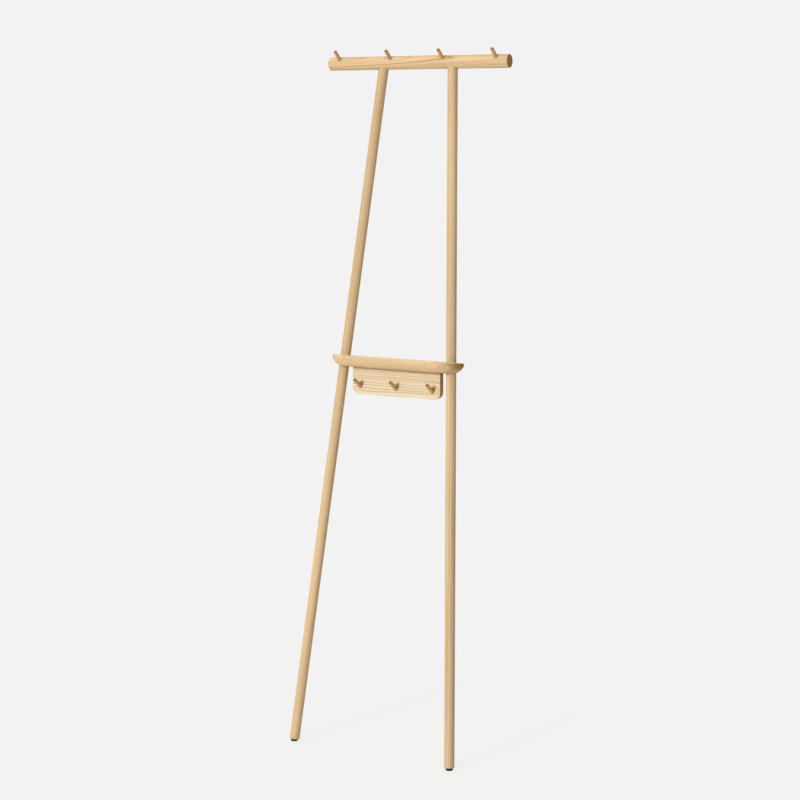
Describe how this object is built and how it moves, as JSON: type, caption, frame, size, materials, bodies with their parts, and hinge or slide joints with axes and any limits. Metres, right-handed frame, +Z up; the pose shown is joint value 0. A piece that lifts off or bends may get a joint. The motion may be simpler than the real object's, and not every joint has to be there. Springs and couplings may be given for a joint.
{
  "type": "clothes rack",
  "caption": "Wall-leaning ash clothes rack: two splayed round legs, a round top rail with angled pegs, and a boat-shaped tray over a hook board with pegs.",
  "frame": {"origin": "on the floor, in the middle of the rack's width and depth", "axes": "+Z up, +X along the rail to the right as the user faces the rack, +Y towards the wall that the rack leans on"},
  "size_m": [0.515, 0.2868, 1.7877],
  "materials": {
    "ash_rail": "clear matt oil",
    "ash_leg": "clear matt oil",
    "ash_tray": "clear matt oil",
    "ash_board": "clear matt oil",
    "ash_peg": "clear matt oil",
    "rubber": "matt black",
    "zinc_steel": "zinc plated",
    "brass": "plain"
  },
  "bodies": {
    "root": {"top_rail": "ash_rail", "left_leg": "ash_leg", "right_leg": "ash_leg", "rail_peg_1": "ash_peg", "rail_peg_2": "ash_peg", "rail_peg_3": "ash_peg", "rail_peg_4": "ash_peg", "tray": "ash_tray", "hook_board": "ash_board", "board_peg_1": "ash_peg", "board_peg_2": "ash_peg", "board_peg_3": "ash_peg", "board_dowels": "ash_peg", "left_foot_pad": "rubber", "right_foot_pad": "rubber", "left_wall_bumper": "rubber", "right_wall_bumper": "rubber", "left_leg_stud": "zinc_steel", "right_leg_stud": "zinc_steel", "left_rail_insert": "brass", "right_rail_insert": "brass", "left_tray_screw": "zinc_steel", "right_tray_screw": "zinc_steel"}
  },
  "joints": []
}
